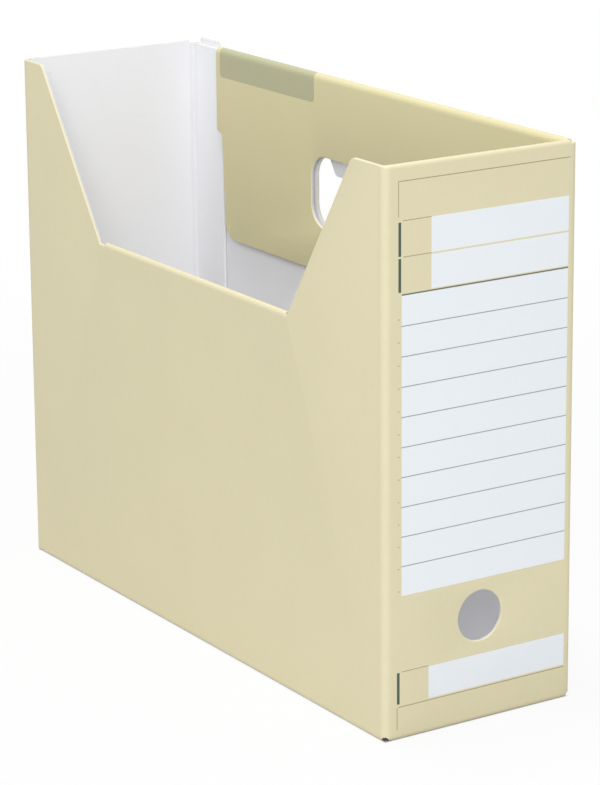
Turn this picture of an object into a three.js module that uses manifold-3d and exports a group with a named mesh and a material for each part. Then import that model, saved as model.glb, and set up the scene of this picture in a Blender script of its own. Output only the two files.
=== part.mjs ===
// An upright file box for A4 sheets lying on their long edge.
// It is one blank of faced paperboard, creased and folded into a tube that is glued along one edge.
// Each panel, flap and crease of the blank is a solid of its own.
// Millimetres, +Z up. The narrow labelled end is at +X, and the long side with the V-cut at -Y.
// The origin is on the floor under the middle of the box.

import * as THREE from "three";
import { mergeVertices } from "three/addons/utils/BufferGeometryUtils.js";
import Module from "manifold-3d";

const wasm = await Module();
wasm.setup();

// The outside of the folded box, and its board.
const box_length = 316;
const box_width = 101;
const box_height = 254;
const board = 1.5;

// Creases. A radius is that of the crease's outer face.
const upright_radius = 3;
const bottom_radius = 2.5;
const fold_air = 0.4;
const hairline = 0.3;
const glue_line = 0.1;
const corner_relief = 1.2;

// The cut-out in each upright crease where it meets the floor.
const arch_radius = 2.8;
const arch_foot = 1;
const arch_reach = 12;

// The V-cut in the near side, as distances from the box's two ends, and the fold in its floor.
const notch_depth = 78;
const notch_back_top = 19.7;
const notch_back_floor = 74.5;
const notch_front_top = 24.3;
const notch_front_floor = 75.5;
const notch_radius = 5;
const notch_fold_back = 81;
const notch_fold_front = 77.5;

// The flap folded down inside the V-cut.
const near_flap_depth = 55;
const near_flap_inset = 1.5;
const near_flap_taper = 6;
const near_flap_radius = 8;

// The flap folded down inside the narrow labelled end.
const front_flap_depth = 50;
const front_flap_inset = 1.2;
const front_flap_taper = 6;
const front_flap_radius = 8;
const front_fold_inset = 0.4;

// The deep flap folded down inside the far side, over the glue tab.
const far_fold_back = 29.3;
const far_fold_front = 3.9;
const far_flap_depth = 97;
const far_flap_shoulder = 25.4;
const far_flap_shoulder_depth = 42;
const far_flap_step = 1.8;
const far_flap_waist = 30.3;
const far_flap_taper = 3;
const far_flap_radius = 9;
const far_flap_clearance = 0.3;

// The hand hole, which goes through the far side and its inner flap, and the tongue left in it.
const hand_hole_width = 90;
const hand_hole_height = 35;
const hand_hole_radius = 11;
const hand_hole_depth = 40;
const grip_width = 68;
const grip_drop = 8.6;
const grip_taper = 5.5;
const grip_radius = 4;

// The finger hole in the narrow labelled end.
const finger_hole_radius = 11.6;
const finger_hole_height = 48.6;

// The strip that joins the back to the far side, and the ear at the top of the far side.
const glue_tab_width = 28.5;
const glue_tab_foot = 6;
const glue_tab_slant = 4;
const far_side_setback = 0.5;
const ear_start = 5.5;
const ear_end = 21;
const ear_slope = 3;
const ear_height = 1.8;
const ear_radius = 1.2;

// The floor, the lip in the middle of its far edge that is tucked up inside the far side, and the two dust flaps.
const floor_end_gap = 8.5;
const floor_edge_gap = 0.5;
const lip_height = 15;
const lip_clearance = 1.1;
const lip_back = 86;
const lip_front = 86;
const lip_radius = 6;
const dust_length = 75;
const dust_near_gap = 2.4;
const dust_far_gap = 3.4;
const dust_taper = 8;
const dust_radius = 10;
const dust_air = 0.3;
const dust_root = 7.5;

// How finely round outlines are cut.
const corner_steps = 6;
const crease_steps = 5;
const hole_steps = 16;
const arch_sides = 24;

// The colours of the board's two faces.
const yellow = 0xdad2b0;
const white = 0xe4e4e3;
const paper_roughness = 0.8;

// Places that several pieces share.
const end_x = box_length / 2;
const side_y = box_width / 2;
const notch_z = box_height - notch_depth;
const small_fold = board + fold_air / 2;
const far_stack = board + glue_line + board + far_flap_clearance;
const far_fold = (far_stack + board) / 2;
const upright_x = end_x - upright_radius;
const upright_y = side_y - upright_radius;
const tab_face_y = side_y - board - glue_line;
const tab_centre_y = tab_face_y - upright_radius;
const panel_foot = bottom_radius + hairline;
const hand_top_z = box_height - hand_hole_depth;

const X = new THREE.Vector3(1, 0, 0);
const Y = new THREE.Vector3(0, 1, 0);
const Z = new THREE.Vector3(0, 0, 1);

// The three ways a flat outline can stand, by its two axes. A side runs away from its outline along -Y.
const SIDE = [X, Z];
const END = [Y, Z];
const LEVEL = [X, Y];

const group = new THREE.Group();

// Adds a piece whose outline stands in a plane and reaches from one place to another across it.
function add(name, outline, plane, low, high, colour = yellow) {
  const depth = high - low;
  const geometry = new THREE.ExtrudeGeometry(outline, { depth, bevelEnabled: false, curveSegments: crease_steps });
  return stand(name, geometry, plane, low, high, colour);
}

// Names a shape and stands it in its plane.
function stand(name, geometry, plane, low, high, colour) {
  const material = new THREE.MeshStandardMaterial({ color: colour, roughness: paper_roughness, metalness: 0 });
  const mesh = new THREE.Mesh(geometry, material);
  const normal = new THREE.Vector3().crossVectors(plane[0], plane[1]);
  const start = normal.y < 0 ? -high : low;
  mesh.quaternion.setFromRotationMatrix(new THREE.Matrix4().makeBasis(plane[0], plane[1], normal));
  mesh.position.copy(normal).multiplyScalar(start);
  mesh.name = name;
  group.add(mesh);
  return mesh;
}

// Points of an outline with each corner rounded. A corner is [across, up, radius].
function rounded(corners) {
  const points = [];
  const count = corners.length;
  for (let i = 0; i < count; i += 1) {
    const here = new THREE.Vector2(corners[i][0], corners[i][1]);
    const before = new THREE.Vector2(...corners[(i + count - 1) % count].slice(0, 2)).sub(here);
    const after = new THREE.Vector2(...corners[(i + 1) % count].slice(0, 2)).sub(here);
    const radius = corners[i][2] ?? 0;
    if (radius === 0) {
      points.push(here);
      continue;
    }
    const half = Math.acos(before.dot(after) / (before.length() * after.length())) / 2;
    const room = Math.min(before.length(), after.length()) / 2;
    const run = Math.min(radius / Math.tan(half), room);
    const from = here.clone().addScaledVector(before.normalize(), run);
    const to = here.clone().addScaledVector(after.normalize(), run);
    const middle = before.add(after).normalize();
    const centre = here.clone().addScaledVector(middle, run / Math.cos(half));
    const reach = run * Math.tan(half);
    const first = from.sub(centre).angle();
    const turn = Math.PI - 2 * half;
    const side = Math.sign(Math.sin(to.sub(centre).angle() - first));
    for (let k = 0; k <= corner_steps; k += 1) {
      const angle = first + (side * turn * k) / corner_steps;
      points.push(new THREE.Vector2(Math.cos(angle), Math.sin(angle)).multiplyScalar(reach).add(centre));
    }
  }
  return points;
}

const outlined = (corners) => new THREE.Shape(rounded(corners));

// A strip of board bent round a centre, from one angle to another in quarter turns.
function bend(across, up, radius, start, turns) {
  const first = (start * Math.PI) / 2;
  const last = first + (turns * Math.PI) / 2;
  const shape = new THREE.Shape();
  shape.absarc(across, up, radius, first, last, false);
  shape.absarc(across, up, radius - board, last, first, true);
  return shape;
}

// The same outline seen from the other end of the box.
const mirrored = (corners) => corners.map(([across, ...rest]) => [-across, ...rest]).reverse();

// The hand hole's outline.
const hand_hole = [
  [-hand_hole_width / 2, hand_top_z - hand_hole_height, hand_hole_radius],
  [hand_hole_width / 2, hand_top_z - hand_hole_height, hand_hole_radius],
  [hand_hole_width / 2, hand_top_z, hand_hole_radius],
  [-hand_hole_width / 2, hand_top_z, hand_hole_radius],
];

// Near side: a long panel with the V-cut. The wall stops below the fold in the cut's floor.
const notch_shelf = notch_z - corner_relief;
const notch_seat = notch_z - small_fold - hairline;
const fold_from = -end_x + notch_fold_back;
const fold_to = end_x - notch_fold_front;
const near_side = outlined([
  [-upright_x + hairline, panel_foot],
  [upright_x - hairline, panel_foot],
  [upright_x - hairline, box_height],
  [end_x - notch_front_top, box_height, notch_radius],
  [end_x - notch_front_floor, notch_shelf],
  [fold_to + hairline, notch_shelf],
  [fold_to + hairline, notch_seat],
  [fold_from - hairline, notch_seat],
  [fold_from - hairline, notch_shelf],
  [-end_x + notch_back_floor, notch_shelf],
  [-end_x + notch_back_top, box_height, notch_radius],
  [-upright_x + hairline, box_height],
]);
add("near_side_panel", near_side, SIDE, -side_y, -side_y + board);

// The fold in the V-cut's floor, and the flap that hangs inside from it.
const near_fold_y = -side_y + small_fold;
const near_fold_z = notch_z - small_fold;
add("near_fold", bend(near_fold_y, near_fold_z, small_fold, 0, 2), END, fold_from, fold_to);
const near_flap = outlined([
  [fold_from + near_flap_inset, near_fold_z - hairline],
  [fold_from + near_flap_inset + near_flap_taper, notch_z - near_flap_depth, near_flap_radius],
  [fold_to - near_flap_inset - near_flap_taper, notch_z - near_flap_depth, near_flap_radius],
  [fold_to - near_flap_inset, near_fold_z - hairline],
]);
const near_flap_face = near_fold_y + fold_air / 2;
add("near_inner_flap", near_flap, SIDE, near_flap_face, near_flap_face + board);

// The narrow labelled end, with its finger hole.
const front_side = outlined([
  [-upright_y + hairline, panel_foot],
  [upright_y - hairline, panel_foot],
  [upright_y - hairline, box_height - small_fold - hairline],
  [-upright_y + hairline, box_height - small_fold - hairline],
]);
const finger_hole = new THREE.EllipseCurve(0, finger_hole_height, finger_hole_radius, finger_hole_radius);
front_side.holes.push(new THREE.Path(finger_hole.getPoints(2 * hole_steps)));
add("front_panel", front_side, END, end_x - board, end_x);

// The fold at its top, and the flap that hangs inside from it.
const front_fold_x = end_x - small_fold;
const front_fold_z = box_height - small_fold;
const front_bend = bend(front_fold_x, front_fold_z, small_fold, 0, 2);
add("front_fold", front_bend, SIDE, -upright_y + front_fold_inset, upright_y - front_fold_inset);
const far_face_y = side_y - 2 * far_fold;
const front_flap_near = -upright_y + front_flap_inset;
const front_flap_far = far_face_y - front_flap_inset;
const front_flap = outlined([
  [front_flap_near + front_flap_taper, box_height - front_flap_depth, front_flap_radius],
  [front_flap_far - front_flap_taper, box_height - front_flap_depth, front_flap_radius],
  [front_flap_far, front_fold_z - hairline],
  [front_flap_near, front_fold_z - hairline],
]);
const front_flap_face = front_fold_x - fold_air / 2 - board;
add("front_inner_flap", front_flap, END, front_flap_face, front_flap_face + board);

// Far side: a long panel that stands on its cut edge, with the hand hole and an ear at its back top corner.
const far_seat = box_height - far_fold - hairline;
const far_from = -end_x + far_fold_back;
const far_to = end_x - far_fold_front;
const far_side = outlined([
  [-end_x + far_side_setback, 0],
  [upright_x - hairline, 0, bottom_radius],
  [upright_x - hairline, far_seat],
  [far_from - hairline, far_seat],
  [far_from - hairline, box_height - corner_relief],
  [-end_x + ear_end + ear_slope, box_height - corner_relief],
  [-end_x + ear_end, box_height + ear_height, ear_radius],
  [-end_x + ear_start, box_height + ear_height, ear_radius],
  [-end_x + ear_start, box_height - corner_relief],
  [-end_x + far_side_setback, box_height - corner_relief],
]);
far_side.holes.push(new THREE.Path(rounded(hand_hole)));
add("far_side_panel", far_side, SIDE, side_y - board, side_y);

// The tongue that hangs in the hand hole.
const grip = outlined([
  [-grip_width / 2 + grip_taper, hand_top_z - grip_drop, grip_radius],
  [grip_width / 2 - grip_taper, hand_top_z - grip_drop, grip_radius],
  [grip_width / 2, hand_top_z - hairline],
  [-grip_width / 2, hand_top_z - hairline],
]);
add("grip_tab", grip, SIDE, side_y - board, side_y);

// The wide fold over the far side and the glue tab, and the deep flap that hangs inside from it.
const far_fold_y = side_y - far_fold;
const far_fold_z = box_height - far_fold;
add("far_fold", bend(far_fold_y, far_fold_z, far_fold, 0, 2), END, far_from, far_to);
const shoulder_z = box_height - far_flap_shoulder_depth;
const far_flap_foot = box_height - far_flap_depth;
// The flap is as narrow as its fold at first, so that it clears the side's top corner when it stands straight up.
const far_flap_neck = 2 * far_fold_z - box_height + corner_relief - hairline;
const far_flap = outlined([
  [-end_x + far_flap_waist + far_flap_taper, far_flap_foot, far_flap_radius],
  [far_to - hairline - far_flap_taper, far_flap_foot, far_flap_radius],
  [far_to - hairline, far_fold_z - hairline],
  [far_from, far_fold_z - hairline],
  [far_from, far_flap_neck],
  [-end_x + far_flap_shoulder, far_flap_neck],
  [-end_x + far_flap_shoulder, shoulder_z],
  [-end_x + far_flap_waist, shoulder_z - far_flap_step],
]);
far_flap.holes.push(new THREE.Path(rounded(hand_hole)));
add("far_inner_flap", far_flap, SIDE, far_face_y, far_face_y + board);

// The narrow back, and the strip beyond it that is glued inside the far side.
const back_side = outlined([
  [-upright_y + hairline, panel_foot],
  [tab_centre_y - hairline, panel_foot],
  [tab_centre_y - hairline, box_height],
  [-upright_y + hairline, box_height],
]);
add("back_panel", back_side, END, -end_x, -end_x + board);
const tab_end = -upright_x + glue_tab_width - upright_radius;
const tab_top = box_height - corner_relief;
const glue_tab = outlined([
  [-upright_x + hairline, glue_tab_foot],
  [tab_end, glue_tab_foot + glue_tab_slant],
  [tab_end, far_seat - glue_tab_slant],
  [far_from - hairline - glue_tab_slant, tab_top],
  [-upright_x + hairline, tab_top],
]);
add("glue_tab", glue_tab, SIDE, tab_face_y - board, tab_face_y, white);

// Turns a shape into a solid that can be cut.
function solid(geometry) {
  const plain = geometry.clone();
  plain.deleteAttribute("normal");
  plain.deleteAttribute("uv");
  const merged = mergeVertices(plain);
  const vertProperties = new Float32Array(merged.attributes.position.array);
  const triVerts = new Uint32Array(merged.index.array);
  return new wasm.Manifold(new wasm.Mesh({ numProp: 3, vertProperties, triVerts }));
}

// The four upright creases. Each ends over the floor in an arch, because three folds meet there.
const uprights = [
  ["near_front_crease", upright_x, -upright_y, -1, box_height],
  ["far_front_crease", upright_x, upright_y, 0, box_height - corner_relief],
  ["tab_crease", -upright_x, tab_centre_y, 1, tab_top],
  ["near_back_crease", -upright_x, -upright_y, 2, box_height],
];
for (const [name, x, y, start, top] of uprights) {
  const strip = new THREE.ExtrudeGeometry(bend(x, y, upright_radius, start, 1), {
    depth: top - arch_foot,
    bevelEnabled: false,
    curveSegments: crease_steps,
  });
  strip.translate(0, 0, arch_foot);
  const arch = new THREE.CylinderGeometry(arch_radius, arch_radius, arch_reach, arch_sides);
  arch.rotateZ((Math.sign(x * y) * -Math.PI) / 4);
  arch.translate(x, y, 0);
  const cut = solid(strip).subtract(solid(arch)).getMesh();
  const geometry = new THREE.BufferGeometry();
  geometry.setAttribute("position", new THREE.BufferAttribute(new Float32Array(cut.vertProperties), 3));
  geometry.setIndex(new THREE.BufferAttribute(new Uint32Array(cut.triVerts), 1));
  stand(name, geometry, LEVEL, 0, 0, yellow);
}

// The floor hangs on the near side's bottom crease.
const floor_hinge_y = -side_y + bottom_radius;
const floor_end = end_x - floor_end_gap;
const lip_face_y = side_y - board - lip_clearance;
const lip_hinge_y = lip_face_y - bottom_radius;
add("near_bottom_crease", bend(floor_hinge_y, bottom_radius, bottom_radius, 2, 1), END, -upright_x, upright_x);
const floor_edge = side_y - board - floor_edge_gap;
const lip_from = -end_x + lip_back;
const lip_to = end_x - lip_front;
const floor_flap = outlined([
  [-floor_end, floor_hinge_y + hairline],
  [floor_end, floor_hinge_y + hairline],
  [floor_end, floor_edge],
  [lip_to + hairline, floor_edge],
  [lip_to + hairline, lip_hinge_y - hairline],
  [lip_from - hairline, lip_hinge_y - hairline],
  [lip_from - hairline, floor_edge],
  [-floor_end, floor_edge],
]);
add("floor_flap", floor_flap, LEVEL, 0, board);

// Its lip is tucked up inside the far side, in the middle, where the finger hole doesn't show it.
add("lip_crease", bend(lip_hinge_y, bottom_radius, bottom_radius, -1, 1), END, lip_from, lip_to);
const lip = outlined([
  [lip_from, bottom_radius + hairline],
  [lip_to, bottom_radius + hairline],
  [lip_to, lip_height, lip_radius],
  [lip_from, lip_height, lip_radius],
]);
add("tuck_lip", lip, SIDE, lip_face_y - board, lip_face_y, white);

// A dust flap lies on the floor at each end. Its crease dips to the level that the box stands on,
// as the other creases do, and rises over the floor's edge.
const dust_z = board + dust_air;
const dust_from = end_x - dust_root;
const dust_to = dust_from - dust_length;
const rise_radius = (board + dust_air) * 2;
const crease_near = -upright_y + front_fold_inset;
const crease_far = tab_centre_y - front_fold_inset;
const dip_x = end_x - bottom_radius;
const rise = dip_x - dust_from - hairline;

function dust_crease(sign) {
  const middle = dip_x - rise / 2;
  const end = dip_x - rise;
  const shape = new THREE.Shape();
  const points = [];
  const lower = new THREE.CubicBezierCurve(
    new THREE.Vector2(dip_x, 0),
    new THREE.Vector2(middle, 0),
    new THREE.Vector2(middle, dust_z),
    new THREE.Vector2(end, dust_z),
  ).getPoints(2 * crease_steps);
  const bow = new THREE.EllipseCurve(dip_x, bottom_radius, bottom_radius, bottom_radius, 0, -Math.PI / 2, true);
  const inner_radius = bottom_radius - board;
  const bight = new THREE.EllipseCurve(dip_x, bottom_radius, inner_radius, inner_radius, -Math.PI / 2, 0);
  points.push(...bow.getPoints(2 * crease_steps), ...lower.slice(1));
  points.push(...lower.reverse().map((p) => new THREE.Vector2(p.x, p.y + board)));
  points.push(...bight.getPoints(2 * crease_steps).slice(1));
  shape.setFromPoints(points.map((p) => new THREE.Vector2(sign * p.x, p.y)));
  return shape;
}

const dust_flap = [
  [dust_to, crease_near + dust_near_gap + dust_taper, dust_radius],
  [dust_from, crease_near + dust_near_gap],
  [dust_from, crease_far - dust_far_gap],
  [dust_to, crease_far - dust_far_gap - dust_taper, dust_radius],
];
add("front_bottom_crease", dust_crease(1), SIDE, crease_near, crease_far);
add("front_dust_flap", outlined(dust_flap), LEVEL, dust_z, dust_z + board, white);
add("back_bottom_crease", dust_crease(-1), SIDE, crease_near, crease_far);
add("back_dust_flap", outlined(mirrored(dust_flap)), LEVEL, dust_z, dust_z + board, white);

export default group;
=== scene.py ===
# %% [markdown]
# # A paperboard file box
# The real box is one flat blank of paperboard. A press creases it and cuts it out, then the blank is
# folded into a tube and glued along one edge. The outside is a pale yellow facing paper, the inside is
# a white liner, and between them lies a grey core that only shows on the cut edges.
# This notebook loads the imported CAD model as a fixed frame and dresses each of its 24 solids with a
# piece that has the board's real edges, folds, print and paper.

# %% Load the frame
import bpy
import math
import numpy as np
from mathutils import Matrix, Vector
from mathutils.geometry import delaunay_2d_cdt


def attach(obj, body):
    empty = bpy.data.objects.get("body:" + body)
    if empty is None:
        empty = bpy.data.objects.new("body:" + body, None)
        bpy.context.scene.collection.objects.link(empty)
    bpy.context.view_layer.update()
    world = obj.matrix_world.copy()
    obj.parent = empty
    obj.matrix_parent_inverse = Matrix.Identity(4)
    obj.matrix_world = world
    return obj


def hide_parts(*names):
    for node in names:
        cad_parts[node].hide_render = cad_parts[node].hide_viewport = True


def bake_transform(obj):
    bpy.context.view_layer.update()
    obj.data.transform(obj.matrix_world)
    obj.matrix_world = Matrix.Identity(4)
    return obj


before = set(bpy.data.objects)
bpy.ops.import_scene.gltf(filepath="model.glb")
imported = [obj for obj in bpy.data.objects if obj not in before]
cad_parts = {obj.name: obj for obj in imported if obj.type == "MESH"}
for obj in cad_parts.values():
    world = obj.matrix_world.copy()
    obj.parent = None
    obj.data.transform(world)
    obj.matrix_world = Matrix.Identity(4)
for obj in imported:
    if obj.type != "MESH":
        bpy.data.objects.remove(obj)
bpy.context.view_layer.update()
MM = 0.001  # a millimetre in metres
BOARD = 1.5  # the board's thickness in mm

# %% [markdown]
# ## The camera
# A product photographer stands well back with a long lens, so that the box looks calm and its edges
# nearly parallel. The camera could be placed by eye. Here its place and focal length come from
# fitting the box's seven visible corners, because proportions can only be compared through the same lens.

# %% Camera
AZIMUTH, ELEVATION, ROLL = map(math.radians, (57.24, 14.34, -0.44))
CAMERA_PLACE = (1.2061, -0.7664, 0.5195)  # in metres
FOCAL_LENGTH = 144.5  # in mm
FRAME_SHIFT = -0.11  # a share of the frame's longer side
forward = np.array([-math.sin(AZIMUTH) * math.cos(ELEVATION),
                    math.cos(AZIMUTH) * math.cos(ELEVATION), -math.sin(ELEVATION)])
level = np.array([math.cos(AZIMUTH), math.sin(AZIMUTH), 0.0])
upright = np.cross(level, forward)
right = math.cos(ROLL) * level + math.sin(ROLL) * upright
above = math.cos(ROLL) * upright - math.sin(ROLL) * level
pose = np.eye(4)
pose[:3] = np.column_stack([right, above, -forward, CAMERA_PLACE])
camera = bpy.data.objects.new("camera", bpy.data.cameras.new("camera"))
bpy.context.scene.collection.objects.link(camera)
camera.matrix_world = Matrix(pose.tolist())
camera.data.lens = FOCAL_LENGTH
camera.data.shift_y = FRAME_SHIFT
camera.data.clip_start, camera.data.clip_end = 0.05, 50
bpy.context.scene.camera = camera
print("camera:", FOCAL_LENGTH, "mm lens,", round(math.hypot(*CAMERA_PLACE), 2), "m from the foot's middle")

# %% [markdown]
# ## Light and floor
# The studio is plain: one broad soft lamp from the camera's side, a weaker and smaller one from above
# that reaches down into the box, and an even grey-white surround. The broad lamp lies on the diagonal
# between the two outer faces, so both get the same light and the rounded crease between them gets a
# little more. It stands near enough for the far end to fall off a little. The floor is pale. To the
# camera it shows mostly as white paper, keeps the box's soft shadow, and fades to plain white further
# out. Under the box it is an unlit sheet with its colour painted dark, as painted shade, so that the
# small relief holes of the bottom read dark.

# %% Lamps
scene = bpy.context.scene
scene.view_settings.view_transform = "Standard"


def lamp(name, place, aim, size, watts):
    """A square area lamp at a place that looks at a point."""
    look = Vector(aim) - Vector(place)
    data = bpy.data.lights.new(name, "AREA")
    data.shape, data.size, data.energy = "SQUARE", size, watts
    made = bpy.data.objects.new(name, data)
    made.location = place
    made.rotation_mode = "QUATERNION"
    made.rotation_quaternion = look.to_track_quat("-Z", "Y")
    scene.collection.objects.link(made)
    print(f"{name}: {watts} W, {look.length:.2f} m away")


lamp("key_lamp", place=(1.30, -0.95, 1.10), aim=(0.05, 0.0, 0.15), size=0.8, watts=15.1)
lamp("top_lamp", place=(-0.05, -0.14, 1.5), aim=(-0.02, 0, 0.1), size=0.3, watts=8.8)


# %% Helpers for shader nodes
def nodes_of(tree, *wanted):
    """Adds shader nodes by type and returns them."""
    return [tree.nodes.new("ShaderNode" + kind) for kind in wanted]


def link(tree, *pairs):
    """Links each pair of an output and an input."""
    for source, target in pairs:
        tree.links.new(source, target)


def maths(tree, operation, first, second=0.0, third=None):
    """One Math node. Inputs are sockets or numbers."""
    made = nodes_of(tree, "Math")[0]
    made.operation = operation
    for place, value in enumerate((first, second, third)):
        if isinstance(value, bpy.types.NodeSocket):
            tree.links.new(value, made.inputs[place])
        elif value is not None:
            made.inputs[place].default_value = value
    return made.outputs[0]


def ramp(tree, value, start, end, low, high):
    """A number that goes evenly from low to high while the value goes from start to end."""
    made = nodes_of(tree, "MapRange")[0]
    for key, number in (("From Min", start), ("From Max", end), ("To Min", low), ("To Max", high)):
        made.inputs[key].default_value = number
    tree.links.new(value, made.inputs["Value"])
    return made.outputs[0]


def cleared(owner):
    """The node tree of a world or a material, emptied."""
    owner.use_nodes = True
    owner.node_tree.nodes.clear()
    return owner.node_tree


def seen_directly(tree):
    """A mask that is 1 for camera, glossy and transmission rays: the largest of the three."""
    path = nodes_of(tree, "LightPath")[0].outputs
    return maths(tree, "MAXIMUM", maths(tree, "MAXIMUM", path["Is Camera Ray"], path["Is Glossy Ray"]),
                 path["Is Transmission Ray"])


def mixed_shaders(tree, share, first, second, out):
    """A mix of two shaders by a share, put on the output node."""
    mix = nodes_of(tree, "MixShader")[0]
    link(tree, (share, mix.inputs[0]), (first.outputs[0], mix.inputs[1]),
         (second.outputs[0], mix.inputs[2]), (mix.outputs[0], out.inputs["Surface"]))


# %% Surround
world = bpy.data.worlds.new("surround")
scene.world = world
tree = cleared(world)
even, white_back, out = nodes_of(tree, "Background", "Background", "OutputWorld")
for shader, colour, strength in ((even, (0.96, 0.98, 1.0, 1), 0.555), (white_back, (1, 1, 1, 1), 1.0)):
    shader.inputs["Color"].default_value = colour
    shader.inputs["Strength"].default_value = strength
    print("surround:", colour, "times", strength)
mixed_shaders(tree, seen_directly(tree), even, white_back, out)

# %% Studio floor
FLOOR_HALF = 9  # half the floor's side in metres
# Within this rectangle under the box the floor's colour is painted dark, as painted shade.
PAINTED_SHADE_SHEET = (0.1560, 0.0485, 0)  # half the dark sheet's sides in metres, just inside the box's foot
floor_data = bpy.data.meshes.new("studio_floor")
floor_data.from_pydata([(x * FLOOR_HALF, y * FLOOR_HALF, 0) for x, y in ((-1, -1), (1, -1), (1, 1), (-1, 1))],
                       [], [(0, 1, 2, 3)])
floor = bpy.data.objects.new("studio_floor", floor_data)
scene.collection.objects.link(floor)
floor_paper = bpy.data.materials.new("studio_paper")
floor_data.materials.append(floor_paper)
tree = cleared(floor_paper)
place, reach, size, past, parts = nodes_of(tree, "TexCoord", "VectorMath", "VectorMath", "VectorMath",
                                           "SeparateXYZ")
reach.operation, size.operation, past.operation = "LENGTH", "ABSOLUTE", "SUBTRACT"
past.inputs[1].default_value = PAINTED_SHADE_SHEET
link(tree, (place.outputs["Object"], reach.inputs[0]), (place.outputs["Object"], size.inputs[0]),
     (size.outputs[0], past.inputs[0]), (past.outputs[0], parts.inputs[0]))
fade = ramp(tree, reach.outputs["Value"], 0.25, 0.8, 0.91, 1.0)
outside = ramp(tree, maths(tree, "MAXIMUM", parts.outputs["X"], parts.outputs["Y"]), 0.0, 0.0014, 0.0, 1.0)
matt, glow, out = nodes_of(tree, "BsdfDiffuse", "Emission", "OutputMaterial")
# Painted shade: the floor's colour is 0.33 under the box and 0.75 outside it.
tree.links.new(maths(tree, "MULTIPLY_ADD", outside, 0.42, 0.33), matt.inputs["Color"])
glow.inputs["Color"].default_value = (1, 1, 1, 1)
glow.inputs["Strength"].default_value = 1.0
white_share = maths(tree, "MULTIPLY", maths(tree, "MULTIPLY", seen_directly(tree), fade), outside)
mixed_shaders(tree, white_share, matt, glow, out)
print("studio floor:", 2 * FLOOR_HALF, "m wide")

# %% [markdown]
# ## Shared paper effects
# Faced board is never one flat colour. The pulp lies in soft clouds a few centimetres wide, short
# fibres run along the board, and the surface has a fine tooth. All paper on this box shares one node
# group for that, with its own values for each paper. A second group lightens the paper at cut edges
# and creases, partly as abrasion and partly as painted highlight: each mesh carries a number for it
# that is 1 at the corner of a cut edge, less on a crease, and 0 on flat paper.

# %% Helpers for node groups
def new_group(name, inputs, outputs):
    """A node group with inputs of (name, kind, value) and outputs of (name, kind). Returns the group, the
    sockets that its values come in by and those that they leave by."""
    group = bpy.data.node_groups.new(name, "ShaderNodeTree")
    for title, kind, value in inputs:
        made = group.interface.new_socket(name=title, in_out="INPUT", socket_type="NodeSocket" + kind)
        made.default_value = value
    for title, kind in outputs:
        group.interface.new_socket(name=title, in_out="OUTPUT", socket_type="NodeSocket" + kind)
    print("node group:", name)
    return group, group.nodes.new("NodeGroupInput").outputs, group.nodes.new("NodeGroupOutput").inputs


def noise(tree, vector, scale, detail, rough, stretch=(1, 1, 1)):
    """Noise on coordinates in metres, stretched along an axis where that axis has a small factor."""
    mapping, made = nodes_of(tree, "Mapping", "TexNoise")
    mapping.inputs["Scale"].default_value = stretch
    for key, value in (("Scale", scale), ("Detail", detail), ("Roughness", rough)):
        made.inputs[key].default_value = value
    link(tree, (vector, mapping.inputs["Vector"]), (mapping.outputs[0], made.inputs["Vector"]))
    return made.outputs["Fac"]


def mixed(tree, share, first, second, kind="MIX"):
    """A colour mix by a share. Inputs are sockets, or colours with four numbers. A Mix node keeps its
    share in socket 0 and its two colours in sockets 6 and 7."""
    made = nodes_of(tree, "Mix")[0]
    made.data_type, made.blend_type = "RGBA", kind
    for place, value in ((0, share), (6, first), (7, second)):
        if isinstance(value, bpy.types.NodeSocket):
            tree.links.new(value, made.inputs[place])
        else:
            made.inputs[place].default_value = value
    return made.outputs[2]


# %% Node group: paper surface
surface, into, outof = new_group(
    "paper_surface",
    (("Vector", "Vector", (0, 0, 0)), ("Colour", "Color", (0.8, 0.8, 0.8, 1)), ("Clouding", "Float", 0.03),
     ("Fibre", "Float", 0.03), ("Specks", "Float", 0.0), ("Roughness", "Float", 0.6)),
    (("Colour", "Color"), ("Roughness", "Float"), ("Height", "Float")))
vector = into["Vector"]
clouds = noise(surface, vector, 26, 3, 0.55)
grain = noise(surface, vector, 420, 4, 0.6)
fibres = noise(surface, vector, 1500, 3, 0.6, (0.16, 0.16, 1.0))
tooth = noise(surface, vector, 2600, 2, 0.5)
lifts = [maths(surface, "MULTIPLY", maths(surface, "SUBTRACT", pattern, 0.5), into[amount])
         for pattern, amount in ((clouds, "Clouding"), (grain, "Fibre"), (fibres, "Fibre"))]
summed = maths(surface, "ADD", maths(surface, "ADD", lifts[0], lifts[1]), lifts[2])
lightness = maths(surface, "ADD", 1.0, maths(surface, "MULTIPLY", summed, 2.0))
combine = nodes_of(surface, "CombineColor")[0]
link(surface, *[(lightness, combine.inputs[channel]) for channel in range(3)])
clouded = mixed(surface, 1.0, into["Colour"], combine.outputs[0], "MULTIPLY")
cells = nodes_of(surface, "TexVoronoi")[0]
cells.inputs["Scale"].default_value = 260
surface.links.new(vector, cells.inputs["Vector"])
dot = maths(surface, "LESS_THAN", cells.outputs["Distance"], 0.06)
rare = maths(surface, "GREATER_THAN", noise(surface, vector, 90, 2, 0.5), 0.6)
speck = maths(surface, "MULTIPLY", maths(surface, "MULTIPLY", dot, rare), into["Specks"])
rough = maths(surface, "MULTIPLY_ADD", grain, 0.12, maths(surface, "SUBTRACT", into["Roughness"], 0.06))
fine = maths(surface, "ADD", maths(surface, "MULTIPLY", tooth, 0.4), maths(surface, "MULTIPLY", grain, 0.6))
height = maths(surface, "ADD", maths(surface, "MULTIPLY", fibres, 0.6), fine)
link(surface, (mixed(surface, speck, clouded, (0.25, 0.22, 0.17, 1)), outof["Colour"]),
     (rough, outof["Roughness"]), (height, outof["Height"]))
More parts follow.
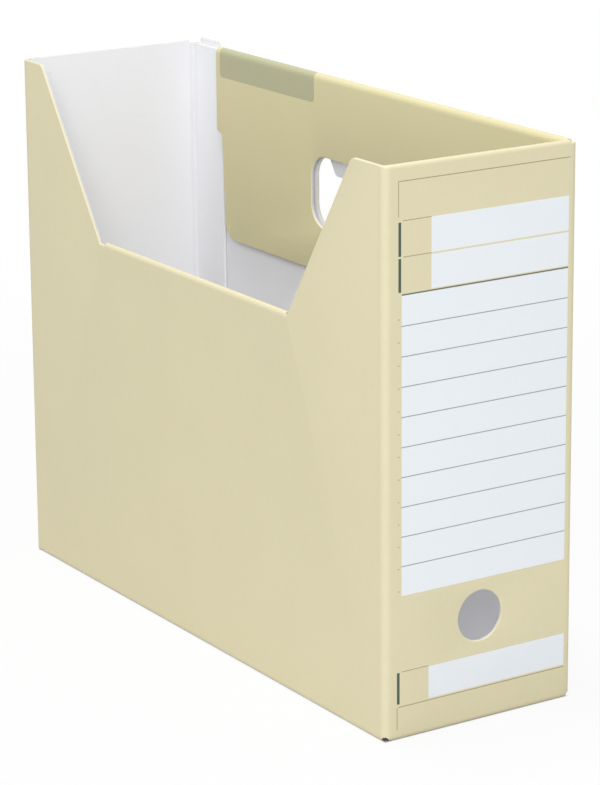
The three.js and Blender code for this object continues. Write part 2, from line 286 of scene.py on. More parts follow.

# %% Node group: abrasion and painted highlight
abrasion_highlight_group, into, outof = new_group(
    "abraded_and_highlit_paper",
    (("Vector", "Vector", (0, 0, 0)), ("Colour", "Color", (0.8, 0.8, 0.8, 1)), ("Abrasion_and_highlight", "Float", 0.0),
     ("Abraded highlight colour", "Color", (0.9, 0.87, 0.75, 1)), ("Amount", "Float", 0.5)),
    (("Colour", "Color"),))
# Lightens the colour by each mesh's number, partly as abrasion and partly as painted highlight.
broken = noise(abrasion_highlight_group, into["Vector"], 160, 4, 0.65)
patchy = maths(abrasion_highlight_group, "MULTIPLY_ADD", broken, 1.1, -0.05)
mask = maths(abrasion_highlight_group, "MULTIPLY", maths(abrasion_highlight_group, "MULTIPLY", into["Abrasion_and_highlight"], into["Amount"]), patchy)
abrasion_highlight_group.links.new(mixed(abrasion_highlight_group, mask, into["Colour"], into["Abraded highlight colour"]), outof["Colour"])

# %% [markdown]
# ## The papers and the print
# Facing, liner and core differ in colour, roughness and the strength of their fibres. The print is
# plain offset ink on the facing paper: it hides the colour but keeps the paper's tooth, so each ink is
# the same paper under another colour and a touch smoother. The facing paper of the flaps that hang
# inside is the same paper painted a deeper yellow, as painted shade. The core at the relief holes of
# the bottom is painted darker than a clean cut, as painted shade.

# %% Materials
TOOTH_HEIGHT = 0.00008  # in metres
SHINE = 0.35


def srgb(text):
    """A colour from its six hex digits, as light values."""
    value = np.array([int(text[i:i + 2], 16) / 255 for i in (0, 2, 4)])
    return (*np.where(value <= 0.04045, value / 12.92, ((value + 0.055) / 1.055) ** 2.4), 1.0)


def paper(name, colour, clouding, fibre, specks, rough, abraded_highlight_colour, abrasion_and_highlight, bump):
    """A paper: its surface group, its group for abrasion and painted highlight, a fine bump and one
    Principled shader. Colours are given as hex digits."""
    made = bpy.data.materials.new(name)
    made.use_nodes = True
    tree = made.node_tree
    shader = tree.nodes["Principled BSDF"]
    place, skin, abrasion_highlight_node, attribute, tooth = nodes_of(tree, "TexCoord", "Group", "Group", "Attribute", "Bump")
    skin.node_tree, abrasion_highlight_node.node_tree = surface, abrasion_highlight_group
    attribute.attribute_name = "abrasion_and_highlight"
    for node, key, value in (
            (skin, "Colour", srgb(colour)), (skin, "Clouding", clouding), (skin, "Fibre", fibre),
            (skin, "Specks", specks), (skin, "Roughness", rough), (abrasion_highlight_node, "Amount", abrasion_and_highlight),
            (abrasion_highlight_node, "Abraded highlight colour", srgb(abraded_highlight_colour)), (tooth, "Strength", bump),
            (tooth, "Distance", TOOTH_HEIGHT), (shader, "Specular IOR Level", SHINE)):
        node.inputs[key].default_value = value
    for source, output, target, key in (
            (place, "Object", skin, "Vector"), (place, "Object", abrasion_highlight_node, "Vector"),
            (skin, "Colour", abrasion_highlight_node, "Colour"), (attribute, "Fac", abrasion_highlight_node, "Abrasion_and_highlight"),
            (abrasion_highlight_node, "Colour", shader, "Base Color"), (skin, "Roughness", shader, "Roughness"),
            (skin, "Height", tooth, "Height"), (tooth, "Normal", shader, "Normal")):
        tree.links.new(source.outputs[output], target.inputs[key])
    return made


def ink(name, colour):
    """A line or bar of print, which is neither abraded nor given painted highlight."""
    return paper(name, colour, clouding=0.03, fibre=0.03, specks=0.0, rough=0.5,
                 abraded_highlight_colour=colour, abrasion_and_highlight=0.0, bump=0.25)


# The light cream of cut edges and creases: partly abraded paper, partly painted highlight.
ABRADED_AND_HIGHLIGHT_CREAM = "F2E9C6"
INKS = [
    paper("yellow_facing_paper", "DFD6B2", clouding=0.022, fibre=0.020, specks=0.10, rough=0.62,
          abraded_highlight_colour=ABRADED_AND_HIGHLIGHT_CREAM, abrasion_and_highlight=0.75, bump=0.35),
    paper("grey_board_core", "D6D2C8", clouding=0.04, fibre=0.08, specks=0.7, rough=0.85,
          abraded_highlight_colour="E6DFC4", abrasion_and_highlight=0.9, bump=0.9),
    paper("white_liner_paper", "EEEEF1", clouding=0.014, fibre=0.016, specks=0.30, rough=0.68,
          abraded_highlight_colour="F4F4F4", abrasion_and_highlight=0.6, bump=0.4),
    paper("white_ink", "EBEFF3", clouding=0.008, fibre=0.010, specks=0.05, rough=0.5,
          abraded_highlight_colour="EBEFF3", abrasion_and_highlight=0.0, bump=0.25),
    ink("dark_green_ink", "4E5B4F"), ink("olive_grey_ink", "6C705C"),
    ink("brown_line_ink", "A39672"), ink("grey_rule_ink", "969C99"),
    paper("olive_ink", "B9B794", clouding=0.02, fibre=0.025, specks=0.05, rough=0.55,
          abraded_highlight_colour="CFCEB0", abrasion_and_highlight=0.4, bump=0.3),
    # The same facing paper painted a deeper yellow, as painted shade on the flaps that hang inside.
    paper("yellow_facing_painted_shade", "DCD3A7", clouding=0.022, fibre=0.020, specks=0.10, rough=0.62,
          abraded_highlight_colour=ABRADED_AND_HIGHLIGHT_CREAM, abrasion_and_highlight=0.75, bump=0.35),
    # The board's core painted dark, as painted shade in the relief holes at the bottom's corners.
    paper("board_core_painted_shade", "7C765B", clouding=0.06, fibre=0.10, specks=0.7, rough=0.9,
          abraded_highlight_colour="7C765B", abrasion_and_highlight=0.0, bump=0.9)]
FACE, CORE, LINER, WHITE, DARK, HEAD, LINE, RULE, OLIVE, FACING_PAINTED_SHADE, CORE_PAINTED_SHADE = range(len(INKS))
print("papers and inks:", [made.name for made in INKS])

# %% [markdown]
# ## How a cut board is made
# A die cuts the blank from the facing side. It presses the facing paper over the edge a little, so a
# cut board has a soft corner outside, a strip of core, and a crisp corner at the liner. A Bevel
# modifier could round the edges, but it would also round the edges where a panel runs on into a
# crease. So each flat board is a profile carried along its outline: every outline point carries the
# same row of (inset, depth) pairs, and the inset is taken back to nothing along joined edges.

# %% Outlines
def area(points):
    """Half the sum of cross products: positive where the loop runs anticlockwise."""
    after = np.roll(points, -1, 0)
    return float((points[:, 0] * after[:, 1] - points[:, 1] * after[:, 0]).sum() / 2)


def outline(*corners, turn=7):
    """The points of an outline with round corners, and for each edge whether it is cut (1) or joined (0).
    A corner is (across, up, radius, cut). A round corner is the arc that touches both edges: it starts
    radius / tan(half the corner's angle) before the corner, and its centre is radius / sin(half) away."""
    points, cut = [], []
    count = len(corners)
    for i, (across, up, radius, free) in enumerate(corners):
        here = np.array([across, up], float)
        if radius == 0:
            points.append(here[None])
            cut.append([free])
            continue
        back = np.array(corners[i - 1][:2], float) - here
        on = np.array(corners[(i + 1) % count][:2], float) - here
        back, on = back / np.linalg.norm(back), on / np.linalg.norm(on)
        half = math.acos(float(back @ on)) / 2
        run = radius / math.tan(half)
        middle = (back + on) / np.linalg.norm(back + on)
        centre = here + middle * radius / math.sin(half)
        first, last = here + back * run - centre, here + on * run - centre
        side = np.sign(first[0] * last[1] - first[1] * last[0])
        angle = math.atan2(first[1], first[0]) + side * np.linspace(0, math.pi - 2 * half, turn)
        points.append(centre + radius * np.column_stack([np.cos(angle), np.sin(angle)]))
        cut.append([1] * (turn - 1) + [free])
    points, cut = np.concatenate(points), np.concatenate(cut).astype(float)
    if area(points) < 0:
        points, cut = points[::-1], np.roll(cut[::-1], -1)
    return points, cut


sample, _ = outline((0, 0, 2, 1), (10, 0, 2, 1), (10, 10, 2, 1), (0, 10, 2, 1))
print("a 10 mm square with 2 mm corners:", len(sample), "points,", round(area(sample), 2), "square mm")


# %% Insets
NEARLY_STRAIGHT = 0.02  # the sine of a turn between two edges


def pulled_in(points, cut, amount):
    """Each point moved into the board, by the amount along cut edges and by nothing along joined ones.
    The move m solves m . n1 = d1 and m . n2 = d2 for the inward normals of the two edges. Where these
    edges are nearly in line, it is the mean of the two amounts along the mean normal."""
    edge = np.roll(points, -1, 0) - points
    edge = edge / np.linalg.norm(edge, axis=1, keepdims=True)
    inward = np.column_stack([-edge[:, 1], edge[:, 0]])
    n2, d2 = inward, cut * amount
    n1, d1 = np.roll(inward, 1, 0), np.roll(cut, 1) * amount
    cross = n1[:, 0] * n2[:, 1] - n1[:, 1] * n2[:, 0]
    straight = np.abs(cross) < NEARLY_STRAIGHT
    safe = np.where(straight, 1.0, cross)
    move = np.column_stack([(d1 * n2[:, 1] - d2 * n1[:, 1]) / safe, (d2 * n1[:, 0] - d1 * n2[:, 0]) / safe])
    along = (n1 + n2) / np.linalg.norm(n1 + n2, axis=1, keepdims=True) * ((d1 + d2) / 2)[:, None]
    return points + np.where(straight[:, None], along, move)


print("the same, 1 mm inside:", round(area(pulled_in(sample, np.ones(len(sample)), 1.0)), 2), "square mm")


# %% Filling an outline
MERGE = 1e-5  # points nearer than this are one, in mm
SLIVER = 1e-9  # triangles smaller than this are left out


def inside(points, loop):
    """Which points lie in a loop, by counting the edges that a ray to the right crosses."""
    (x0, y0), (x1, y1) = loop.T, np.roll(loop, -1, 0).T
    x, y = points[:, :1], points[:, 1:]
    spans = (y0 > y) != (y1 > y)
    with np.errstate(divide="ignore", invalid="ignore"):
        at = x0 + (y - y0) * (x1 - x0) / (y1 - y0)
    return (spans & (x < at)).sum(1) % 2 == 1


def filled(loops, lines=()):
    """Triangles that fill the first loop, leave out the others, and keep each line as an edge.
    Gives the extra points that lines and crossings need, and the triangles."""
    counts = [len(loop) for loop in loops]
    starts = np.cumsum([0] + counts)
    base = starts[-1]
    ends = np.asarray(lines, float).reshape(-1, 2)
    points = np.concatenate([*loops, ends])
    edges = [np.column_stack([here, np.roll(here, -1)]) for here in np.split(np.arange(base), starts[1:-1])]
    edges = np.concatenate([*edges, base + np.arange(len(ends)).reshape(-1, 2)])
    made, _, faces, origin, _, _ = delaunay_2d_cdt(points.tolist(), edges.tolist(), [], 0, MERGE)
    made = np.array([tuple(v) for v in made], float)
    name = np.array([min(o) if o else -1 for o in origin])
    made[name >= 0] = points[name[name >= 0]]
    own = (name >= 0) & (name < base)
    number = np.where(own, name, base + np.cumsum(~own) - 1)
    faces = np.array([f for f in faces if len(f) == 3])
    middle = made[faces].mean(1)
    keep = inside(middle, loops[0])
    for loop in loops[1:]:
        keep &= ~inside(middle, loop)
    faces = faces[keep]
    a, b, c = made[faces[:, 0]], made[faces[:, 1]], made[faces[:, 2]]
    turned = (b - a)[:, 0] * (c - a)[:, 1] - (b - a)[:, 1] * (c - a)[:, 0]
    real = np.abs(turned) > SLIVER
    faces, turned = faces[real], turned[real]
    faces[turned < 0] = faces[turned < 0][:, ::-1]
    return made[~own], number[faces]


print("triangles that fill it:", len(filled([sample])[1]))


# %% From numbers to a mesh
SHARP = math.radians(40)


def mesh_object(name, points, faces, inks, smooth, abrasion_and_highlight):
    """Puts arrays into a mesh: points in mm, faces as a list of index arrays, with one ink and one
    smooth flag for each face and, for each point, one number for abrasion and painted highlight."""
    data = bpy.data.meshes.new(name)
    flat = np.concatenate([f.ravel() for f in faces])
    totals = np.concatenate([np.full(len(f), f.shape[1]) for f in faces])
    data.vertices.add(len(points))
    data.vertices.foreach_set("co", (points * MM).astype(np.float32).ravel())
    data.loops.add(len(flat))
    data.loops.foreach_set("vertex_index", flat.astype(np.int32))
    data.polygons.add(len(totals))
    data.polygons.foreach_set("loop_start", np.concatenate([[0], np.cumsum(totals)[:-1]]).astype(np.int32))
    for material in INKS:
        data.materials.append(material)
    data.polygons.foreach_set("material_index", np.concatenate(inks).astype(np.int32))
    data.update(calc_edges=True)
    data.validate()
    data.polygons.foreach_set("use_smooth", np.concatenate(smooth).astype(bool))
    data.set_sharp_from_angle(angle=SHARP)
    layer = data.attributes.new("abrasion_and_highlight", "FLOAT", "POINT")
    layer.data.foreach_set("value", abrasion_and_highlight.astype(np.float32))
    made = bpy.data.objects.new(name, data)
    scene.collection.objects.link(made)
    print(f"{name}: {len(points)} points, {len(totals)} faces")
    return made


# %% A flat board
# A cut edge's profile: (inset, depth) pairs in mm, from the face to the liner.
RIM = np.array([(0.50, 0.0), (0.27, 0.05), (0.10, 0.18), (0.0, 0.42),
                (0.0, 0.8), (0.0, 1.38), (0.05, 1.47), (0.15, BOARD)])
# How much each ring is lightened, partly as abrasion and partly as painted highlight.
RIM_ABRASION_AND_HIGHLIGHT = np.array([0, 0.5, 1, 0.8, 0.1, 0, 0, 0])
RIM_INK = np.array([FACE, FACE, FACE, CORE, CORE, LINER, LINER])
# Cut edges painted in the liner's white instead of the core's grey, as painted light that fades the line of
# shade along the lip and the glue strip.
PALE_RIM_PAINTED_LIGHT = np.array([FACE, CORE, LINER, LINER, LINER, LINER, LINER])


def dress(piece, node, body):
    """A rigid piece rides on a body and stands for its CAD node, which is hidden."""
    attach(piece, body)
    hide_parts(node)


def board(name, node, body, plane, shape, holes=(), lines=(), painter=None, rim_ink=RIM_INK, face=FACE):
    """A flat board. plane is (origin, across, up, into the board), in mm. Rings of points run round the
    outline and each hole, one for every pair in RIM, and triangles fill the first and last ring. A point
    is origin + a * across + u * up + depth * into the board."""
    origin, across, up, depth = (np.array(v, float) for v in plane)
    loops = [shape] + [(hole[::-1], np.roll(cut[::-1], -1)) for hole, cut in holes]
    flat = [np.concatenate([pulled_in(p, c, inset) for p, c in loops]) for inset, _ in RIM]
    count, last = len(flat[0]), (len(RIM) - 1) * len(flat[0])
    starts = np.cumsum([0] + [len(p) for p, _ in loops])
    extra, front = filled(np.split(flat[0], starts[1:-1]), lines)
    extra_back, rear = filled(np.split(flat[-1], starts[1:-1]))
    plan = np.concatenate([*flat, extra, extra_back])
    deep = np.concatenate([np.repeat(RIM[:, 1], count), np.zeros(len(extra)),
                           np.full(len(extra_back), BOARD)])
    points = origin + plan[:, :1] * across + plan[:, 1:] * up + deep[:, None] * depth
    here = np.arange(count)
    after = np.concatenate([np.roll(part, -1) for part in np.split(here, starts[1:-1])])
    ring = (np.arange(len(RIM) - 1) * count)[:, None]
    rim = np.stack([ring + here, ring + count + here, ring + count + after, ring + after], -1).reshape(-1, 4)
    front = np.where(front < count, front, front + last)
    rear = np.where(rear < count, rear + last, rear + last + len(extra))[:, ::-1]
    front_ink = painter(plan[front].mean(1)) if painter else np.full(len(front), face)
    inks = [front_ink, np.full(len(rear), LINER), np.repeat(rim_ink, count)]
    near_cut = np.concatenate([np.maximum(cut, np.roll(cut, 1)) for _, cut in loops])
    abrasion_and_highlight = np.concatenate([np.repeat(RIM_ABRASION_AND_HIGHLIGHT, count) * np.tile(near_cut, len(RIM)),
                           np.zeros(len(extra) + len(extra_back))])
    faces = [front, rear, rim]
    if float(np.dot(np.cross(across, up), depth)) > 0:
        faces = [f[:, ::-1] for f in faces]
    smooth = [np.zeros(len(front)), np.zeros(len(rear)), np.ones(len(rim))]
    dress(mesh_object(name, points, faces, inks, smooth, abrasion_and_highlight), node, body)


def across_x(y, into):
    """The plane of a board that stands along X with its face at y. into is 1 or -1."""
    return (0, y, 0), (1, 0, 0), (0, 0, 1), (0, into, 0)


def across_y(x, into):
    """The plane of a board that stands along Y with its face at x."""
    return (x, 0, 0), (0, 1, 0), (0, 0, 1), (into, 0, 0)


# %% [markdown]
# ## How a crease is made
# A crease is the same board, pressed along a line and turned. The bend starts softly, is tightest in
# the middle and ends softly. So the turn is given first: the angle at each place along the bend follows
# 3s^2 - 2s^3, and adding up its sines and cosines gives the curve. The strip between two panels is then
# a profile of the board's thickness carried along that curve.

# %% Bends
FINE_STEPS, BEND_PLACES = 2000, 25


def turning(total, reach):
    """A bend that starts upwards at (0, 0) and turns right by total degrees. Its sideways reach is given.
    Returns places, outward normals and how far along each place is, from 0 to 1."""
    s = np.linspace(0, 1, FINE_STEPS + 1)
    angle = math.radians(total) * (3 * s ** 2 - 2 * s ** 3)
    step = s[1] - s[0]
    sine, cosine = np.sin(angle), np.cos(angle)
    across = np.concatenate([[0], np.cumsum((sine[1:] + sine[:-1]) / 2 * step)])
    up = np.concatenate([[0], np.cumsum((cosine[1:] + cosine[:-1]) / 2 * step)])
    size = reach / across[-1]
    pick = np.linspace(0, FINE_STEPS, BEND_PLACES).astype(int)
    return np.column_stack([across, up])[pick] * size, np.column_stack([-cosine, sine])[pick], s[pick]


CORNER = 4.3  # how far an upright crease reaches along each panel
fold_bend, wide_bend, quarter_bend = turning(180, 3.4), turning(180, 4.9), turning(90, CORNER)
fold_rise, wide_rise = fold_bend[0][:, 1].max(), wide_bend[0][:, 1].max()
print(f"the folds rise {fold_rise:.2f} and {wide_rise:.2f} mm")


# %% A strip carried along a bend
def carried(name, outer, inner, abrasion_and_highlight, skin=FACE, ends=CORE, foot=(CORE, LINER)):
    """A closed strip. outer and inner are arrays (places along the strip, places along the bend, 3).
    The loop through a section runs along the outer side and back along the inner one, and both ends are
    closed. skin is the ink of the outer faces, one for all or an array (steps along, steps of the bend).
    ends is the ink of the closed ends, and foot that of the first cut and of the inner faces next to it."""
    along, count = outer.shape[:2]
    loop = 2 * count
    points = np.concatenate([outer, inner[:, ::-1]], 1).reshape(-1, 3)
    here = np.arange(loop)
    after = np.roll(here, -1)
    row = (np.arange(along - 1) * loop)[:, None]
    faces = np.stack([row + here, row + after, row + loop + after, row + loop + here], -1).reshape(-1, 4)
    inks = np.tile(np.where((here == count - 1) | (here == loop - 1), CORE, LINER), (along - 1, 1))
    inks[:, :count - 1] = skin
    inks[:, loop - 1], inks[:, loop - 6:loop - 1] = foot
    step = np.arange(count - 1)
    cap = np.stack([step, loop - 1 - step, loop - 2 - step, step + 1], -1)
    caps = np.concatenate([cap[:, ::-1], cap + (along - 1) * loop])
    a, b, c = (points[faces[:, k]] for k in (0, 1, 2))
    normal = np.cross(b - a, c - b).reshape(along - 1, loop, 3)[:, :count - 1]
    if float((normal * (outer - inner)[:-1, :-1]).sum()) < 0:
        faces, caps = faces[:, ::-1], caps[:, ::-1]
    full_abrasion_and_highlight = np.concatenate([abrasion_and_highlight, np.zeros_like(abrasion_and_highlight)], 1).ravel()
    return mesh_object(name, points, [faces, caps], [inks.ravel(), np.full(len(caps), ends)],
                       [np.ones(len(faces)), np.zeros(len(caps))], full_abrasion_and_highlight)


# %% [markdown]
# ## The near side
# The long side towards the camera has the V-cut, through which a hand thumbs the files. Its left,
# right and bottom edges run on into creases, and so does the middle of the cut's floor.

# %% Near side
END_X, SIDE_Y, TOP = 158.0, 50.5, 254.0  # the outer faces and the walls' top
FOOT = 2.65  # where the panels end and the bottom's creases start
CUT_FLOOR = 174.8  # the V-cut's floor beside its fold
panel_x, panel_y = END_X - CORNER, SIDE_Y - CORNER
seat = 176.0 - fold_rise  # where the fold in the V-cut starts
board("near_side", "near_side_panel", "root", across_x(-SIDE_Y, 1), outline(
    (-panel_x, FOOT, 0, 0), (panel_x, FOOT, 0, 0), (panel_x, TOP, 0, 1), (133.7, TOP, 5, 1),
    (82.5, CUT_FLOOR, 0, 1), (80.6, CUT_FLOOR, 0, 1), (80.6, seat, 0, 0), (-79.6, seat, 0, 1),
    (-79.6, CUT_FLOOR, 0, 1), (-83.5, CUT_FLOOR, 0, 1), (-138.3, TOP, 5, 1), (-panel_x, TOP, 0, 0)))

# %% [markdown]
# ## The labelled end
# The narrow end carries a printed label: a thin frame line, two index bars, two white boxes, a ruled
# white field, and one more box near the bottom. The print could be an image, but ruled areas are
# sharper as geometry: the front of the board is split along the print's own edges, and each triangle
# takes the ink of the area that its middle lies in.

# %% The print
FIELD_TOP = 56.0
RULES, TICKS = (FIELD_TOP, 13.24, 0.22, RULE), (66.2, 10, 0.25, LINE)  # first, step, half a line, ink


def thin_lines(left, right, first, step, half, colour, numbers):
    """Areas for a row of thin lines, one below the other."""
    return [(left, right, first + step * k - half, first + step * k + half, colour) for k in numbers]


# Each area is left, right, top, bottom and ink, in mm off the end's near edge and below its top.
areas = np.array([
    (9.0, 96.2, FIELD_TOP, 188.4, WHITE), (24.1, 96.2, 24.0, 39.3, WHITE), (24.1, 96.2, 40.1, 54.9, WHITE),
    (23.2, 96.6, 223.2, 237.9, WHITE),
    *thin_lines(8.8, 96.2, *RULES, range(1, 10)),
    (9.0, 96.2, 55.4, 56.05, HEAD), (7.2, 98.0, 7.0, 7.4, LINE), (7.2, 7.55, 7.4, 22.3, LINE),
    (9.7, 24.1, 23.85, 24.2, LINE), (9.7, 24.1, 39.35, 39.7, LINE), (9.0, 23.2, 222.7, 223.05, LINE),
    (7.2, 97.7, 238.6, 239.0, LINE), (6.5, 6.9, 239.0, 249.0, LINE), (7.3, 8.7, 24.6, 39.2, DARK),
    (7.3, 8.7, 40.1, 54.6, DARK), (6.6, 8.0, 223.0, 237.4, DARK),
    *thin_lines(7.2, 7.8, *TICKS, range(13)), *thin_lines(96.9, 97.5, *TICKS, range(13))])
label = np.column_stack([areas[:, :2] - SIDE_Y, TOP - areas[:, 3], TOP - areas[:, 2], areas[:, 4]])


def printed(middle):
    """The ink at each place (Y, Z): that of the last area that holds it, or bare paper."""
    left, right, bottom, top, colour = label.T
    y, z = middle[:, :1], middle[:, 1:]
    held = (y > left) & (y < right) & (z > bottom) & (z < top)
    last = len(label) - 1 - held[:, ::-1].argmax(1)
    return np.where(held.any(1), colour[last], FACE).astype(int)


def box_lines(boxes):
    """The four sides of each (left, right, bottom, top), as pairs of points."""
    corners = boxes[:, [[0, 2], [1, 2], [1, 3], [0, 3]]]
    return np.stack([corners, np.roll(corners, -1, 1)], 2).reshape(-1, 2, 2)


print("printed areas:", len(label))

# %% Labelled end
HOLE_RADIUS, HOLE_HEIGHT, HOLE_POINTS = 11.6, 48.6, 48
turn = np.linspace(0, 2 * math.pi, HOLE_POINTS + 1)[:-1]
finger_hole = (np.column_stack([HOLE_RADIUS * np.cos(turn), HOLE_HEIGHT + HOLE_RADIUS * np.sin(turn)]),
               np.ones(HOLE_POINTS))
front_seat = TOP - fold_rise
board("labelled_end", "front_panel", "root", across_y(END_X, -1), outline(
    (-panel_y, FOOT, 0, 0), (panel_y, FOOT, 0, 0), (panel_y, front_seat, 0, 0), (-panel_y, front_seat, 0, 0)),
    [finger_hole], box_lines(label[:, :4]), printed)

# %% [markdown]
# ## The back and the far side
# The back is plain. The far side stands on its cut edge, has the hand hole and, at its back top
# corner, a small ear that the folded flap leaves free.

# %% Back
tab_y = 48.9  # the outer face of the glue tab
tab_edge = tab_y - CORNER  # where the back runs on into the tab's crease
board("back_wall", "back_panel", "root", across_y(-END_X, 1), outline(
    (-panel_y, FOOT, 0, 0), (tab_edge, FOOT, 0, 0), (tab_edge, TOP, 0, 1), (-panel_y, TOP, 0, 0)))

# %% Far side, hand hole and glue tab
EAR_TOP, SHOULDER = 255.8, 252.8  # the ear, and the cut edges beside it and on the glue tab
far_seat = TOP - wide_rise
far_plane = across_x(SIDE_Y, -1)
hand_hole = outline((-45, 179, 11, 1), (45, 179, 11, 1), (45, 214, 11, 1), (-45, 214, 11, 1), turn=10)
board("far_side", "far_side_panel", "root", far_plane, outline(
    (-157.5, 0, 0, 1), (panel_x, 0, 0, 0), (panel_x, far_seat, 0, 0), (-132.5, far_seat, 0, 1),
    (-132.5, SHOULDER, 0, 1), (-134, SHOULDER, 0, 1), (-137, EAR_TOP, 1.2, 1), (-152.5, EAR_TOP, 1.2, 1),
    (-152.5, SHOULDER, 0, 1), (-157.5, SHOULDER, 0, 1)), [hand_hole])

# The glue strip's cut edges are painted pale, as painted light.
board("glue_strip", "glue_tab", "root", across_x(tab_y, -1), outline(
    (-panel_x, 6, 0, 1), (-129.5, 10, 0, 1), (-129.5, 247.25, 0, 1), (-133.0, SHOULDER, 0, 1),
    (-panel_x, SHOULDER, 0, 0)), rim_ink=PALE_RIM_PAINTED_LIGHT)

board("grip_tongue", "grip_tab", "grip", far_plane, outline(
    (-28.5, 205.4, 4, 1), (28.5, 205.4, 4, 1), (34, 213.85, 0, 0), (-34, 213.85, 0, 1)))

# %% [markdown]
# ## The folded-down flaps
# Three flaps hang inside: a short one in the V-cut, one behind the labelled end, and a deep one over
# the far side that hides the glue tab. Their facing paper shows inside the box. The deep one has the
# hand hole too and an olive index patch in its top corner.

# %% Flaps
# The flaps take the facing paper painted a deeper yellow, as painted shade.
board("near_flap", "near_inner_flap", "near_flap", across_x(-47.1, -1), outline(
    (-69.5, 121, 8, 1), (73, 121, 8, 1), (79, seat, 0, 0), (-75.5, seat, 0, 1)), face=FACING_PAINTED_SHADE)

board("front_flap", "front_inner_flap", "front_flap", across_y(154.6, 1), outline(
    (-40.3, 204, 8, 1), (38.4, 204, 8, 1), (44.4, front_seat, 0, 0), (-45.9, front_seat, 0, 1)), face=FACING_PAINTED_SHADE)

PATCH_ENDS, PATCH_FOOT = (-128.5, -42.0), 239.5
patch, _ = outline((PATCH_ENDS[0], far_seat, 0, 1), (PATCH_ENDS[0], PATCH_FOOT, 2.2, 1),
                   (PATCH_ENDS[1], PATCH_FOOT, 2.2, 1), (PATCH_ENDS[1], far_seat, 0, 1))
board("far_flap", "far_inner_flap", "far_flap", across_x(45.6, 1), outline(
    (-124.7, 157, 9, 1), (150.8, 157, 9, 1), (153.8, far_seat, 0, 0), (-132.4, far_seat, 0, 1),
    (-132.4, 212, 0, 1), (-127.7, 210.2, 0, 1)),
    [hand_hole], np.stack([patch[:-1], patch[1:]], 1),
    lambda middle: np.where(inside(middle, patch), OLIVE, FACING_PAINTED_SHADE))

# %% [markdown]
# ## The folds that the flaps hang on
# Each fold is a half turn of the board. When a flap opens, its fold opens with it. Here the strip is
# not attached to either body, and its inner side leaves a narrow gap in its middle.

# %% Top folds
FREE_END = np.array([(0, 0.35), (0.12, 0.16), (0.35, 0.04), (0.8, 0)])  # mm from the end, mm pressed in
HALF_GAP = 0.1  # the inner side's distance from the fold's middle
# How much a fold's crown is lightened, partly as abrasion and partly as painted highlight.
FOLD_ABRASION_AND_HIGHLIGHT = 0.1
PATCH_START = 0.38  # how far round the bend the patch's print starts


def top_fold(name, node, bend, place, ends, free=(1, 1), patch_range=None):
    """A half-turn fold. place(across, along, up) gives points, and the strip runs between two ends. The
    inner side lies a board's thickness inside the outer one, and stops short of the fold's middle. A free
    end is pressed in a little like every cut edge."""
    curve, normal, share = bend
    half = curve[-1, 0] / 2
    depth = curve - BOARD * normal
    depth[:, 0] = np.where(share < 0.5, np.minimum(depth[:, 0], half - HALF_GAP),
                           np.maximum(depth[:, 0], half + HALF_GAP))
    depth[len(depth) // 2, 0] = half
    depth[:, 1] = np.minimum(depth[:, 1], curve[:, 1].max() - BOARD)
    low, high = ends
    soft, dip = FREE_END.T
    middle = np.linspace(low + 3, high - 3, 12)
    if patch_range:
        middle = np.sort(np.concatenate([middle, patch_range]))
    run = np.concatenate([low + soft, middle, (high - soft)[::-1]])
    sink = np.concatenate([dip * free[0], 0 * middle, dip[::-1] * free[1]])
    outer = np.stack([place(curve[:, 0] - s * normal[:, 0], at, curve[:, 1] - s * normal[:, 1])
                      for at, s in zip(run, sink)])
    inner = np.stack([place(depth[:, 0], at, depth[:, 1]) for at in run])
    abrasion_and_highlight = np.tile(FOLD_ABRASION_AND_HIGHLIGHT * np.sin(np.pi * share) ** 2, (len(run), 1))
    # The fold's inner half takes the facing paper painted a deeper yellow, as painted shade.
    skin = np.tile(np.where(share[:-1] < 0.5, FACE, FACING_PAINTED_SHADE), (len(run) - 1, 1))
    if patch_range:
        covered = (run[:-1] >= patch_range[0]) & (run[:-1] < patch_range[1])
        skin[covered[:, None] & (share[:-1] > PATCH_START)[None]] = OLIVE
    made = carried(name, outer, inner, abrasion_and_highlight, skin)
    tuple(place(half - 0.2, 0, 0) * MM)
    tuple(place(half + 0.2, 0, 0) * MM)
    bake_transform(made)
    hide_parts(node)


def places_along(axis, wall, sign, base):
    """Places for a fold along X (0) or Y (1): across goes from the wall's outer face inwards."""
    def place(across, at, up):
        """Points at wall + sign * across, base + up and, on the fold's own axis, at."""
        return np.squeeze(np.insert(np.column_stack([wall + sign * across, base + up]), axis, at, 1))
    return place


top_fold("near_fold_strip", "near_fold", fold_bend, places_along(0, -SIDE_Y, 1, seat),
         (-79.5, 80.5))
top_fold("front_fold_strip", "front_fold", fold_bend, places_along(1, END_X, -1, front_seat),
         (-panel_y, 46.9), (0, 1))
top_fold("far_fold_strip", "far_fold", wide_bend, places_along(0, SIDE_Y, -1, far_seat),
         (-132.4, 154.1), patch_range=PATCH_ENDS)

# %% [markdown]
# ## The upright creases
# Four creases turn the blank into a tube. Near the floor they roll under with the bottom's creases and
# end in a small open arch, because three folds meet there and the board needs room. One corner has no
# arch and stands on its edge. At the top they end in a cut edge like the panels'.

# %% Upright creases
quarter, quarter_normal, quarter_share = quarter_bend
BEND_LENGTH = 1.67  # a quarter bend's length as a multiple of its reach
ARCH_HALF, ARCH_RISE = 2.2, 2.4  # half the arch's width, and its height
FOOT_ROLL = 2.5  # the radius that the bottom's creases turn with
LOW_TOP = 5  # the height that the foot's rows of points reach to
BEAD_HEIGHT, BEAD_WIDTH = 0.3, 0.11  # the bead that a crease raises inside the board
# How much an upright crease and its top are lightened, partly as abrasion and partly as painted highlight.
CREASE_ABRASION_AND_HIGHLIGHT, TOP_ABRASION_AND_HIGHLIGHT = 0.5, 0.9


